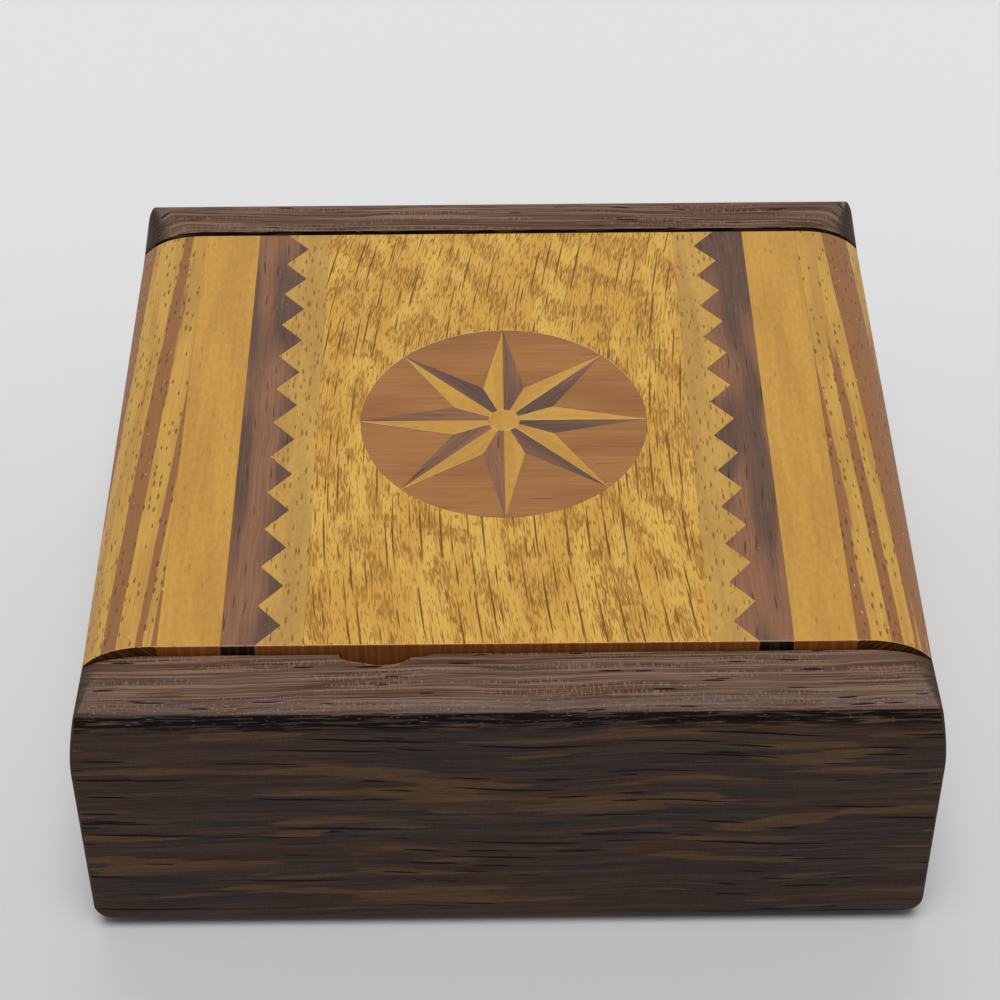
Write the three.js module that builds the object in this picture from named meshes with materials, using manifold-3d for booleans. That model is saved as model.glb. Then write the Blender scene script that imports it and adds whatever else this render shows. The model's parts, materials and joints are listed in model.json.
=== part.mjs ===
// An inlaid wooden trinket box: two dark rails with side walls and a base board between them, and a
// lid that slides out to the right in grooves in the rails. The lid is a core board with thick inlays:
// an eight-pointed star in a round, set in a flecked field, sawtooth banding and plain bands on both
// sides, and striped edge strips that follow the rounded shoulders.
// Millimetres, +X right, +Y back, +Z up, with the origin under the middle of the box.
import * as THREE from 'three';
import { mergeVertices } from 'three/addons/utils/BufferGeometryUtils.js';
import Module from 'manifold-3d';

const wasm = await Module();
wasm.setup();

// The whole box
const LENGTH = 89.5;
const DEPTH = 84.7;
const HEIGHT = 35.6;

// The outline seen from the front: small bottom corners, upright sides that lean in near the top up to
// an edge, and shoulders that curve on from the edge to the flat top. Widths and insets are from the
// side, drops from the lid's top. A bend is the place that a curve heads for when it sets off.
const BOTTOM_ROUND = 2;
const ROUND_STEPS = 7;
const LEAN_DROP = 10.8;
const LEAN_BEND_DROP = 7.8;
const EDGE_INSET = 1.2;
const EDGE_DROP = 2.8;
const SHOULDER_WIDTH = 8.5;
const SHOULDER_BEND = 3.5;
const CURVE_STEPS = 10;

// Towards the rails' outer faces the shoulders shrink to small corners
const CORNER_EDGE_INSET = 1.1;
const CORNER_EDGE_DROP = 2.4;
const CORNER_WIDTH = 3.3;
const CORNER_BEND = 1.6;

// Rails, the dark pieces along the front and the back. The front one stands lower than the lid and the
// back one a little higher, and these steps fade out down the shoulders to the edge.
const FRONT_RAIL_THICK = 8;
const BACK_RAIL_THICK = 6.5;
const RAIL_TOP_ROUND = 2;
const RAIL_END_ROUND = 0.6;
const FRONT_RAIL_STEP = 1.1;
const BACK_RAIL_RISE = 0.35;

// The worn chip in the front rail's inner edge, as three overlapping bites
const CHIP_X = -12.4;
const CHIP_BITES = [
  { along: -1.4, long: 6.8, wide: 1.4, deep: 1.3 },
  { along: -0.4, long: 6.2, wide: 1.85, deep: 1.6 },
  { along: 2.8, long: 3.2, wide: 0.5, deep: 0.9 },
];
const CHIP_FACES = 24;

// Side walls, their tongues in the rails, and the base board in its rebate. The board stands proud of
// the rails and walls, so the box rests on it with a narrow gap under the rails.
const WALL_THICK = 6.5;
const WALL_TONGUE_THICK = 3;
const WALL_TONGUE_LONG = 2.5;
const WALL_TONGUE_INSET = 1.25;
const BASE_THICK = 4.5;
const BASE_PROUD = 1.5;
const BASE_REBATE = 3;
const JOINT_GAP = 0.3;

// The lid and its tongues
const LID_THICK = 9;
const LID_GAP = 0.3;
const LID_TONGUE_HIGH = 3;
const LID_TONGUE_WIDE = 2.5;
const LID_TONGUE_INSET = 1.5;
const GROOVE_STOP = 6;

// The inlays
const INLAY_THICK = 3.2;
const GLUE_LINE = 0.1;
const EDGE_STRIP_FLAT = 0.5;
const HONEY_BAND = 6.5;
const DARK_BAND = 3.5;
const OLIVE_BAND = 5;
const TOOTH_DEEP = 2.5;
const TOOTH_COUNT = 12;

// The star: eight points in a round, each split into a light and a dark half, around a small disc
const POINT_COUNT = 8;
const ROUND_RADIUS = 16;
const WAIST_RADIUS = 6;
const DISC_RADIUS = 1.8;
const ARC_STEPS = 6;

// Places worked out from the sizes
const halfLength = LENGTH / 2;
const halfDepth = DEPTH / 2;
const frontFace = -halfDepth + FRONT_RAIL_THICK;
const backFace = halfDepth - BACK_RAIL_THICK;
const cavityHalf = halfLength - WALL_THICK;
const lidFront = frontFace + LID_GAP;
const lidBack = backFace - LID_GAP;
const lidMiddle = (lidFront + lidBack) / 2;
const lidTop = HEIGHT - BACK_RAIL_RISE;
const lidBottom = lidTop - LID_THICK;
const inlayBottom = lidTop - INLAY_THICK;
const coreTop = inlayBottom - GLUE_LINE;
const wallTop = lidBottom - LID_GAP;
const tongueBottom = (lidBottom + coreTop - LID_TONGUE_HIGH) / 2;
const tongueTop = tongueBottom + LID_TONGUE_HIGH;

const woods = {
  darkRail: wood(0x4a3b33, 0.5),
  plainBrown: wood(0x8f6238, 0.5),
  flecked: wood(0xc39a50, 0.35),
  redBrown: wood(0xa57242, 0.35),
  purpleBrown: wood(0x664638, 0.35),
  olive: wood(0xae844e, 0.35),
  honey: wood(0xbc904d, 0.35),
  striped: wood(0xa97a3f, 0.35),
};

function wood(color, roughness) {
  return new THREE.MeshStandardMaterial({ color, roughness, metalness: 0 });
}

// Solids from closed geometries, and back again for the meshes
function solid(geometry) {
  const bare = geometry.clone();
  bare.deleteAttribute('normal');
  bare.deleteAttribute('uv');
  const merged = mergeVertices(bare);
  const vertProperties = Float32Array.from(merged.attributes.position.array);
  const triVerts = Uint32Array.from(merged.index.array);
  return new wasm.Manifold(new wasm.Mesh({ numProp: 3, vertProperties, triVerts }));
}

function geometryOf(body) {
  const mesh = body.getMesh();
  const geometry = new THREE.BufferGeometry();
  geometry.setAttribute('position', new THREE.BufferAttribute(mesh.vertProperties, 3));
  geometry.setIndex(new THREE.BufferAttribute(mesh.triVerts, 1));
  const faceted = geometry.toNonIndexed();
  faceted.computeVertexNormals();
  return faceted;
}

// Points are [across, up] pairs in every outline
function shapeOf(points) {
  return new THREE.Shape(points.map(([u, v]) => new THREE.Vector2(u, v)));
}

function extrudedUp(points, low, high, hole) {
  const shape = shapeOf(points);
  if (hole) shape.holes.push(shapeOf(hole));
  const geometry = new THREE.ExtrudeGeometry(shape, { depth: high - low, bevelEnabled: false });
  return geometry.translate(0, 0, low);
}

// An outline in X and Z carried along Y
function extrudedBack(points, front, back) {
  const settings = { depth: back - front, bevelEnabled: false };
  return new THREE.ExtrudeGeometry(shapeOf(points), settings).rotateX(Math.PI / 2).translate(0, back, 0);
}

// An outline in Y and Z carried along X
function extrudedAcross(points, left, right) {
  const settings = { depth: right - left, bevelEnabled: false };
  const geometry = new THREE.ExtrudeGeometry(shapeOf(points), settings);
  return geometry.rotateX(Math.PI / 2).rotateZ(Math.PI / 2).translate(left, 0, 0);
}

function block([left, right], [front, back], [low, high]) {
  const geometry = new THREE.BoxGeometry(right - left, back - front, high - low);
  return geometry.translate((left + right) / 2, (front + back) / 2, (low + high) / 2);
}

// A skin over a row of outlines in X and Z, from the front to the back. Each has a place along Y, and
// all have as many points.
function lofted(rings) {
  const count = rings[0].points.length;
  const places = rings.flatMap(({ y, points }) => points.flatMap(([x, z]) => [x, y, z]));
  const last = (rings.length - 1) * count;
  const faces = [];
  for (const [a, b, c] of capOf(rings[0].points)) {
    faces.push(a, b, c);
  }
  for (const [a, b, c] of capOf(rings.at(-1).points)) {
    faces.push(last + a, last + c, last + b);
  }
  for (let start = 0; start < last; start += count) {
    for (let index = 0; index < count; index += 1) {
      const [near, next] = [start + index, start + ((index + 1) % count)];
      faces.push(near, near + count, next + count, near, next + count, next);
    }
  }
  const geometry = new THREE.BufferGeometry();
  geometry.setAttribute('position', new THREE.Float32BufferAttribute(places, 3));
  return geometry.setIndex(faces);
}

function capOf(points) {
  return THREE.ShapeUtils.triangulateShape(points.map(([u, v]) => new THREE.Vector2(u, v)), []);
}

// An outline drawn in by a distance, where its points run anticlockwise
function drawnIn(points, distance) {
  return points.map(([u, v], index) => {
    const [u0, v0] = points.at(index - 1);
    const [u1, v1] = points[(index + 1) % points.length];
    const long = Math.hypot(u1 - u0, v1 - v0);
    return [u - (distance * (v1 - v0)) / long, v + (distance * (u1 - u0)) / long];
  });
}

// Points on a quarter circle round a centre, from one angle to another
function arc(centreU, centreV, radius, from, to) {
  return Array.from({ length: ROUND_STEPS + 1 }, (_, step) => {
    const angle = from + ((to - from) * step) / ROUND_STEPS;
    return [centreU + radius * Math.cos(angle), centreV + radius * Math.sin(angle)];
  });
}

// Points on a curve that leaves one place heading for its bend and arrives at another from there
function curveOver(from, bend, to) {
  const [start, middle, end] = [from, bend, to].map(([u, v]) => new THREE.Vector2(u, v));
  const curve = new THREE.QuadraticBezierCurve(start, middle, end);
  return curve.getPoints(CURVE_STEPS).map(({ x, y }) => [x, y]);
}

// The right side of the outline from the bottom up. The rise is how far the flat top stands above the
// lid's, and the shape is that of the shoulder or of the rails' outer corner.
const shoulder = {
  edge: [halfLength - EDGE_INSET, lidTop - EDGE_DROP],
  bend: halfLength - SHOULDER_BEND,
  flat: halfLength - SHOULDER_WIDTH,
};
const corner = {
  edge: [halfLength - CORNER_EDGE_INSET, lidTop - CORNER_EDGE_DROP],
  bend: halfLength - CORNER_BEND,
  flat: halfLength - CORNER_WIDTH,
};

function sideCurve(rise, { edge, bend, flat }) {
  const top = lidTop + rise;
  const turned = arc(halfLength - BOTTOM_ROUND, BOTTOM_ROUND, BOTTOM_ROUND, -Math.PI / 2, 0);
  const foot = turned.map(([x, z]) => [x, z + BASE_PROUD]);
  const lean = curveOver([halfLength, lidTop - LEAN_DROP], [halfLength, lidTop - LEAN_BEND_DROP], edge);
  const over = curveOver(edge, [bend, top], [flat, top]);
  return [...foot, ...lean, ...over.slice(1)];
}

// The part of the right side between two heights
function sideBetween(rise, low, high, shape = shoulder) {
  const curve = sideCurve(rise, shape);
  const kept = curve.filter(([, z]) => z > low && z < high);
  return [[sideAt(curve, low), low], ...kept, [sideAt(curve, high), high]];
}

function sideAt(curve, height) {
  const upper = curve.findIndex(([, z], index) => index > 0 && z >= height);
  const [x0, z0] = curve[upper - 1];
  const [x1, z1] = curve[upper];
  return z1 > z0 ? x0 + ((x1 - x0) * (height - z0)) / (z1 - z0) : x1;
}

function mirrored(points) {
  return points.map(([x, z]) => [-x, z]).reverse();
}

function outline(rise, low, high, shape) {
  const right = sideBetween(rise, low, high, shape);
  return [...right, ...mirrored(right)];
}

// Rails: side is -1 at the front and 1 at the back
function innerFace(side) {
  return side < 0 ? frontFace : backFace;
}

// The rail's body has the lid's outline at its inner face and its own small corners near its outer
// face, which is rounded over at its ends. It runs past its inner face, to be cut off there.
function railBody(side, rise) {
  const top = lidTop + rise;
  const inner = outline(rise, BASE_PROUD, top, shoulder);
  const outer = outline(rise, BASE_PROUD, top, corner);
  const rings = [
    { y: innerFace(side) - side * RAIL_TOP_ROUND, points: inner },
    { y: innerFace(side), points: inner },
  ];
  for (const [across, out] of arc(0, 0, RAIL_END_ROUND, 0, Math.PI / 2)) {
    const y = side * (halfDepth - RAIL_END_ROUND + out);
    rings.push({ y, points: drawnIn(outer, RAIL_END_ROUND - across) });
  }
  return lofted(side < 0 ? rings.reverse() : rings);
}

function railGeometry(side, rise) {
  const top = lidTop + rise;
  const profile = solid(extrudedAcross(railProfile(side, top), -LENGTH, LENGTH));
  let rail = solid(railBody(side, rise)).intersect(profile);
  for (const cut of [lidGroove(side), baseRebate(side), ...wallDados(side)]) {
    rail = rail.subtract(solid(cut));
  }
  return rail;
}

// The rail's section: square to the lid, rounded over at its outer top edge
function railProfile(side, top) {
  const centre = side * (halfDepth - RAIL_TOP_ROUND);
  const rounded = arc(0, top - RAIL_TOP_ROUND, RAIL_TOP_ROUND, 0, Math.PI / 2);
  return [
    [innerFace(side), BASE_PROUD],
    [side * halfDepth, BASE_PROUD],
    ...rounded.map(([out, z]) => [centre + side * out, z]),
    [innerFace(side), top],
  ];
}

// A cut that starts clear of the rail's face and goes a given depth into it
function intoRail(side, depth) {
  const outside = innerFace(side) - side;
  const inside = innerFace(side) + side * depth;
  return [Math.min(outside, inside), Math.max(outside, inside)];
}

// The groove stops short of the left end, where the lid's tongue comes to rest
function lidGroove(side) {
  const along = [-halfLength + GROOVE_STOP, LENGTH];
  const heights = [tongueBottom - LID_GAP, tongueTop + LID_GAP];
  return block(along, intoRail(side, LID_TONGUE_WIDE + LID_GAP), heights);
}

function baseRebate(side) {
  const reach = cavityHalf + BASE_REBATE;
  return block([-reach, reach], intoRail(side, BASE_REBATE), [-1, BASE_THICK]);
}

function wallDados(side) {
  const near = cavityHalf + WALL_TONGUE_INSET - JOINT_GAP;
  const far = cavityHalf + WALL_TONGUE_INSET + WALL_TONGUE_THICK + JOINT_GAP;
  const depth = intoRail(side, WALL_TONGUE_LONG + JOINT_GAP);
  const heights = [BASE_THICK, wallTop];
  return [block([near, far], depth, heights), block([-far, -near], depth, heights)];
}

function frontRail() {
  let rail = railGeometry(-1, -FRONT_RAIL_STEP);
  for (const { along, long, wide, deep } of CHIP_BITES) {
    const bite = new THREE.SphereGeometry(1, CHIP_FACES, CHIP_FACES / 2);
    bite.scale(long / 2, wide, deep);
    bite.translate(CHIP_X + along, frontFace, lidTop - FRONT_RAIL_STEP);
    rail = rail.subtract(solid(bite));
  }
  return rail;
}

// A side wall: rebated for the base board, with a tongue at each end
function wallGeometry(side) {
  const right = [
    [cavityHalf + BASE_REBATE, BASE_PROUD],
    ...sideBetween(0, BASE_PROUD, wallTop),
    [cavityHalf, wallTop],
    [cavityHalf, BASE_THICK],
    [cavityHalf + BASE_REBATE, BASE_THICK],
  ];
  const section = side > 0 ? right : mirrored(right);
  const board = solid(extrudedBack(section, frontFace, backFace));
  const near = side * (cavityHalf + WALL_TONGUE_INSET);
  const far = near + side * WALL_TONGUE_THICK;
  const reach = [frontFace - WALL_TONGUE_LONG, backFace + WALL_TONGUE_LONG];
  const width = [Math.min(near, far), Math.max(near, far)];
  const tongue = block(width, reach, [BASE_THICK + JOINT_GAP, wallTop - JOINT_GAP]);
  return board.add(solid(tongue));
}

function baseGeometry() {
  const lap = BASE_REBATE - JOINT_GAP;
  const across = [-cavityHalf - lap, cavityHalf + lap];
  return block(across, [frontFace - lap, backFace + lap], [0, BASE_THICK]);
}

// The lid's core board, with a tongue along its front and back edges
function coreGeometry() {
  const section = outline(0, lidBottom, coreTop);
  const board = solid(extrudedBack(section, lidFront, lidBack));
  const along = [-halfLength + GROOVE_STOP + LID_GAP, halfLength - LID_TONGUE_INSET];
  const reach = [frontFace - LID_TONGUE_WIDE, backFace + LID_TONGUE_WIDE];
  return board.add(solid(block(along, reach, [tongueBottom, tongueTop])));
}

// Inlays that lie flat are outlines in X and Y
function inlay(points, hole) {
  return extrudedUp(points, inlayBottom, lidTop, hole);
}

function edgeStrip(side) {
  const inner = halfLength - SHOULDER_WIDTH - EDGE_STRIP_FLAT;
  const right = [[inner, inlayBottom], ...sideBetween(0, inlayBottom, lidTop), [inner, lidTop]];
  const section = side > 0 ? right : mirrored(right);
  return extrudedBack(section, lidFront, lidBack);
}

const honeyOuter = halfLength - SHOULDER_WIDTH - EDGE_STRIP_FLAT;
const darkOuter = honeyOuter - HONEY_BAND;
const oliveOuter = darkOuter - DARK_BAND;
const fieldHalf = oliveOuter - OLIVE_BAND;

// The zigzag between the olive and the dark band, from the front to the back
function sawtooth(side) {
  const points = [];
  const pitch = (lidBack - lidFront) / TOOTH_COUNT;
  for (let tooth = 0; tooth < TOOTH_COUNT; tooth += 1) {
    const start = lidFront + tooth * pitch;
    points.push([side * oliveOuter, start]);
    points.push([side * (oliveOuter - TOOTH_DEEP), start + pitch / 2]);
  }
  points.push([side * oliveOuter, lidBack]);
  return points;
}

function oliveBand(side) {
  const inner = side * fieldHalf;
  return inlay([[inner, lidBack], [inner, lidFront], ...sawtooth(side)]);
}

function darkBand(side) {
  const outer = side * darkOuter;
  return inlay([[outer, lidBack], [outer, lidFront], ...sawtooth(side)]);
}

function honeyBand(side) {
  const inner = side * darkOuter;
  const outer = side * honeyOuter;
  return inlay([
    [inner, lidFront],
    [outer, lidFront],
    [outer, lidBack],
    [inner, lidBack],
  ]);
}

// The star's corners, by point number. Waists lie half way between the points.
const turn = (2 * Math.PI) / POINT_COUNT;

function polar(radius, number) {
  return [radius * Math.cos(number * turn), lidMiddle + radius * Math.sin(number * turn)];
}

function tip(number) {
  return polar(ROUND_RADIUS, number);
}

function waist(number) {
  return polar(WAIST_RADIUS, number + 0.5);
}

const pointNumbers = Array.from({ length: POINT_COUNT }, (_, number) => number);

// The round's rim from one point's tip up to, but without, the next
function rim(number) {
  return Array.from({ length: ARC_STEPS }, (_, step) => {
    return polar(ROUND_RADIUS, number + step / ARC_STEPS);
  });
}

function roundOutline() {
  return pointNumbers.flatMap((number) => rim(number));
}

function discOutline() {
  return pointNumbers.flatMap((number) => [
    polar(DISC_RADIUS, number),
    polar(DISC_RADIUS, number + 0.5),
  ]);
}

// Each point is split along its middle into a light half and a dark one
function lightHalf(number) {
  return inlay([
    polar(DISC_RADIUS, number),
    tip(number),
    waist(number),
    polar(DISC_RADIUS, number + 0.5),
  ]);
}

function darkHalf(number) {
  return inlay([
    polar(DISC_RADIUS, number),
    polar(DISC_RADIUS, number - 0.5),
    waist(number - 1),
    tip(number),
  ]);
}

function starGround(number) {
  return inlay([...rim(number), tip((number + 1) % POINT_COUNT), waist(number)]);
}

function fieldGeometry() {
  const corners = [
    [-fieldHalf, lidFront],
    [fieldHalf, lidFront],
    [fieldHalf, lidBack],
    [-fieldHalf, lidBack],
  ];
  return inlay(corners, roundOutline());
}

const box = new THREE.Group();
const lid = new THREE.Group();
box.add(lid);

function addPiece(group, name, geometry, material) {
  const mesh = new THREE.Mesh(geometry, material);
  mesh.name = name;
  group.add(mesh);
}

addPiece(box, 'front_rail', geometryOf(frontRail()), woods.darkRail);
addPiece(box, 'back_rail', geometryOf(railGeometry(1, BACK_RAIL_RISE)), woods.darkRail);
addPiece(box, 'base_board', baseGeometry(), woods.plainBrown);
addPiece(lid, 'lid_core', geometryOf(coreGeometry()), woods.plainBrown);
addPiece(lid, 'flecked_field', fieldGeometry(), woods.flecked);
for (const [place, side] of [['left', -1], ['right', 1]]) {
  addPiece(box, `${place}_wall`, geometryOf(wallGeometry(side)), woods.plainBrown);
  addPiece(lid, `${place}_olive_band`, oliveBand(side), woods.olive);
  addPiece(lid, `${place}_sawtooth_band`, darkBand(side), woods.purpleBrown);
  addPiece(lid, `${place}_honey_band`, honeyBand(side), woods.honey);
  addPiece(lid, `${place}_striped_edge`, edgeStrip(side), woods.striped);
}
addPiece(lid, 'star_disc', inlay(discOutline()), woods.honey);
for (const number of pointNumbers) {
  addPiece(lid, `star_light_${number + 1}`, lightHalf(number), woods.honey);
  addPiece(lid, `star_dark_${number + 1}`, darkHalf(number), woods.purpleBrown);
  addPiece(lid, `star_ground_${number + 1}`, starGround(number), woods.redBrown);
}

export default box;
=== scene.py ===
# %% [markdown]
# # A small inlaid trinket box
#
# The box is built the way a box maker builds it: a dark rail along the front and the back, plain
# walls between them, and a lid whose top is a jigsaw of thick solid inlays. Its shape and its sizes
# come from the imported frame, so nothing here is fitted by eye. This script adds what the eye looks
# for next: softened edges, the figure of each wood, a satin lacquer, and a pale table to see it on.

# %% Load the frame
import json
import math

import bmesh
import bpy
from mathutils import Matrix, Vector


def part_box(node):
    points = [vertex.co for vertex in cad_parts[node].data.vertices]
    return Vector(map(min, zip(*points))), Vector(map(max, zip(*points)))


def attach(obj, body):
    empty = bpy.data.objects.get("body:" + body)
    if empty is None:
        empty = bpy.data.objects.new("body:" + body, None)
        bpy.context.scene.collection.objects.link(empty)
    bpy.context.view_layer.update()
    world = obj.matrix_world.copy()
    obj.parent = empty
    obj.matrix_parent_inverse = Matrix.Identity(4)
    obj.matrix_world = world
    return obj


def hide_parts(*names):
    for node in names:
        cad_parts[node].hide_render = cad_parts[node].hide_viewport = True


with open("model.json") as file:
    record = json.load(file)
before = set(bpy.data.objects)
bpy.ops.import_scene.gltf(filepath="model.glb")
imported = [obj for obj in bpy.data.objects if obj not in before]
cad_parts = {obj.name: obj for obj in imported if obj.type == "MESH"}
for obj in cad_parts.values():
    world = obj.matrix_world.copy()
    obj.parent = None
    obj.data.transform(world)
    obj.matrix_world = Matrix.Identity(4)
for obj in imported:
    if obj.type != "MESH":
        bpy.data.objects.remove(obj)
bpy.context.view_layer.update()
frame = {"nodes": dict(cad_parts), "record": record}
MM = 0.001
print("pieces in the frame:", len(frame["nodes"]))

# %% [markdown]
# ## Camera
#
# A small product is usually photographed with a long lens, close by and well above. Such a camera
# could be placed by trial, but it is surer to work it out from the edges of the box, where they
# meet the table and where they run together. These few numbers are the answer, in millimetres and
# degrees, and the matrix turns them into a place and three turns.

# %% Camera
LENS = 92.3
SENSOR_WIDTH = 36
CAMERA_PLACE = Vector((-1.58, -216.3, 222.56)) * MM
LOOK_DOWN = math.radians(42.58)
LOOK_RIGHT = math.radians(0.29)
CAMERA_ROLL = math.radians(-0.32)

lens = bpy.data.cameras.new("camera")
lens.lens = LENS
lens.sensor_width = SENSOR_WIDTH
lens.clip_start = 0.01
camera = bpy.data.objects.new("camera", lens)
aim = Matrix.Rotation(-LOOK_RIGHT, 4, "Z") @ Matrix.Rotation(math.pi / 2 - LOOK_DOWN, 4, "X")
camera.matrix_world = Matrix.Translation(CAMERA_PLACE) @ aim @ Matrix.Rotation(CAMERA_ROLL, 4, "Z")
bpy.context.scene.collection.objects.link(camera)
bpy.context.scene.camera = camera
print("camera at", [round(part, 3) for part in camera.location])

# %% [markdown]
# ## Colours
#
# A colour read off a screen runs from 0 to 255 and is stored on a curve. A shader wants the plain
# amount of light. Typing linear values by hand would work, but they are hard to picture, so this
# little function lets every colour below be written as it looks.

# %% Colours
def colour(red, green, blue):
    """A colour as it looks on the screen, in the values of a shader."""
    def linear(part):
        part /= 255
        return part / 12.92 if part <= 0.04045 else ((part + 0.055) / 1.055) ** 2.4
    return (linear(red), linear(green), linear(blue), 1.0)


print("middle grey is", round(colour(118, 118, 118)[0], 3))

# %% [markdown]
# ## A finish under construction
#
# A material is a tree of small nodes. Wiring it by hand in the editor is fine for one, but eight
# woods share most of their parts, so a small class holds the tree and adds a node in one line. A
# value can be a number, or the output of another node. Each wood reads either Object coordinates,
# which stay still in the wood when a piece moves, or the grain map that a piece carries. A cell that
# only makes helpers prints their names, with the small one at the end here.

# %% A finish under construction
class Finish:
    """A material, with its node tree and the places it reads."""

    def __init__(self, name):
        self.material = bpy.data.materials.new(name)
        self.material.use_nodes = True
        self.tree = self.material.node_tree
        self.shader = self.tree.nodes["Principled BSDF"]
        coordinates = self.add("ShaderNodeTexCoord")
        self.place = coordinates.outputs["Object"]
        self.facing = coordinates.outputs["Normal"]
        self.grain = self.add("ShaderNodeUVMap", uv_map="grain").outputs["UV"]

    def add(self, kind, inputs=None, **settings):
        node = self.tree.nodes.new(kind)
        for name, value in settings.items():
            setattr(node, name, value)
        for name, value in (inputs or {}).items():
            self.fill(node.inputs[name], value)
        return node

    def fill(self, socket, value):
        if isinstance(value, bpy.types.NodeSocket):
            self.tree.links.new(value, socket)
        else:
            socket.default_value = value

    def calc(self, operation, *values):
        node = self.add("ShaderNodeMath", operation=operation)
        for socket, value in zip(node.inputs, values):
            self.fill(socket, value)
        return node.outputs[0]

    def vector(self, operation, *values):
        node = self.add("ShaderNodeVectorMath", operation=operation)
        for socket, value in zip(node.inputs, values):
            self.fill(socket, value)
        return node


def made(*helpers):
    """Prints the names of the helpers that a cell has made."""
    print("made:", ", ".join(helper.__name__ for helper in helpers))


made(Finish, made)

# %% [markdown]
# ## Grain coordinates
#
# Every mark in wood is long along the grain and narrow across it. So the first thing a wood needs
# is a pair of numbers in millimetres: how far across the grain, and how far along it. Here they
# come from Object coordinates, by measuring how far a point lies in a given direction.

# %% Grain coordinates
def toward(wood, direction):
    """How far a point lies in a direction, in millimetres."""
    reach = tuple(Vector(direction) / MM)
    return wood.vector("DOT_PRODUCT", wood.place, reach).outputs["Value"]


def turned_to(wood, direction):
    """How much the surface faces a direction, from -1 to 1."""
    return wood.vector("DOT_PRODUCT", wood.facing, direction).outputs["Value"]


def laid(wood, across, along):
    """Flat coordinates from two outputs: across the grain, and along it."""
    return wood.add("ShaderNodeCombineXYZ", {"X": across, "Y": along}).outputs["Vector"]


def leaning(wood, grain, slope):
    """The same coordinates, with marks that drift sideways by slope for each millimetre along."""
    across = wood.vector("DOT_PRODUCT", grain, (1, slope, 0)).outputs["Value"]
    along = wood.vector("DOT_PRODUCT", grain, (0, 1, 0)).outputs["Value"]
    return laid(wood, across, along)


made(toward, turned_to, laid, leaning)

# %% [markdown]
# ## Soft variation
#
# No board is one colour. Noise that is stretched along the grain gives the slow drift from light to
# dark, and the same noise made very narrow gives the fibres. A smooth fade then picks how hard the
# change is. Painting the variation would not follow a cut edge, which noise does by itself. A size
# is always a pair in millimetres, across the grain and then along it. A seed moves the pattern, so
# that two marks lie in the same places only where they are meant to.

# %% Soft variation
SEED_STEP = (7.31, 3.17, 1.73)


def stretched(wood, grain, size, seed):
    """Coordinates that grow by 1 for each size. The seed picks another part of the pattern."""
    factor = (1 / size[0], 1 / size[1], 1.0)
    shift = tuple(step * seed for step in SEED_STEP)
    return wood.vector("MULTIPLY_ADD", grain, factor, shift).outputs["Vector"]


def blotches(wood, grain, size, seed, detail=2.0):
    """Soft blotches of a size, from 0 to 1 and mostly near a half."""
    place = stretched(wood, grain, size, seed)
    inputs = {"Vector": place, "Scale": 1.0, "Detail": detail}
    return wood.add("ShaderNodeTexNoise", inputs, noise_dimensions="2D").outputs["Fac"]


def fade(wood, value, start, end, low=0.0, high=1.0):
    """Goes smoothly from low to high while the value goes from start to end."""
    inputs = {"Value": value, "From Min": start, "From Max": end, "To Min": low, "To Max": high}
    node = wood.add("ShaderNodeMapRange", inputs, interpolation_type="SMOOTHSTEP")
    return node.outputs["Result"]


made(stretched, blotches, fade)

# %% [markdown]
# ## Pores and specks
#
# Cut pores show as thin dark dashes with pointed ends, and specks as short soft ones. Stretched
# noise can't make them, because its marks run into each other. Voronoi cells can: each cell has one
# point in it, and the distance from that point, squeezed to the size of a dash, draws one lens. The
# cell's own random colour decides whether it is drawn, and how big.

# %% Pores and specks
SMALLEST_DASH = 0.55


def dashes(wood, grain, cell, dash, share, seed, soft):
    """Lens-shaped marks in a share of the cells. Soft is how much of each mark fades out."""
    place = stretched(wood, grain, cell, seed)
    inputs = {"Vector": place, "Scale": 1.0}
    cells = wood.add("ShaderNodeTexVoronoi", inputs, voronoi_dimensions="2D")
    away = wood.vector("SUBTRACT", place, cells.outputs["Position"]).outputs["Vector"]
    squeeze = (2 * cell[0] / dash[0], 2 * cell[1] / dash[1], 0.0)
    reach = wood.vector("LENGTH", wood.vector("MULTIPLY", away, squeeze).outputs["Vector"])
    chance = wood.add("ShaderNodeSeparateColor", {"Color": cells.outputs["Color"]})
    grown = fade(wood, chance.outputs["Green"], 0.0, 1.0, SMALLEST_DASH, 1.0)
    mark = fade(wood, wood.calc("DIVIDE", reach.outputs["Value"], grown), 1.0, 1.0 - soft)
    kept = wood.calc("LESS_THAN", chance.outputs["Red"], share)
    return wood.calc("MULTIPLY", mark, kept)


made(dashes)

# %% [markdown]
# ## Streaks
#
# Other marks do run into each other: dark layers, lenses of brown, crowded flecks. They are the
# parts of stretched noise that rise above a height, with an edge as soft as the climb to it. Where
# another amount is added first, they come sooner, which is how flecks are made to crowd.

# %% Streaks
def streaks(wood, grain, size, start, end, seed, detail=1.0, more=None):
    """Marks where stretched noise rises from start to end, and sooner where more is added to it."""
    value = blotches(wood, grain, size, seed, detail)
    if more is not None:
        value = wood.calc("ADD", value, more)
    return fade(wood, value, start, end)


made(streaks)

# %% [markdown]
# ## Colour on colour
#
# Stain, pores and figure lie over each other, so a colour is built up in layers, each mixed in by
# the amount that the marks above give. Blender's Mix node has sockets for numbers, vectors and
# colours under the same names, so those for colours are picked by their places in its lists.

# %% Colour on colour
MIX_AMOUNT, MIX_BASE, MIX_OTHER = 0, 6, 7
MIX_COLOUR = 2


def tint(wood, base, amount, other, strength=1.0):
    """Base with an amount of another colour laid over it."""
    if strength != 1.0:
        amount = wood.calc("MULTIPLY", amount, strength)
    node = wood.add("ShaderNodeMix", data_type="RGBA")
    wood.fill(node.inputs[MIX_AMOUNT], amount)
    wood.fill(node.inputs[MIX_BASE], base)
    wood.fill(node.inputs[MIX_OTHER], other)
    return node.outputs[MIX_COLOUR]


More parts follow.
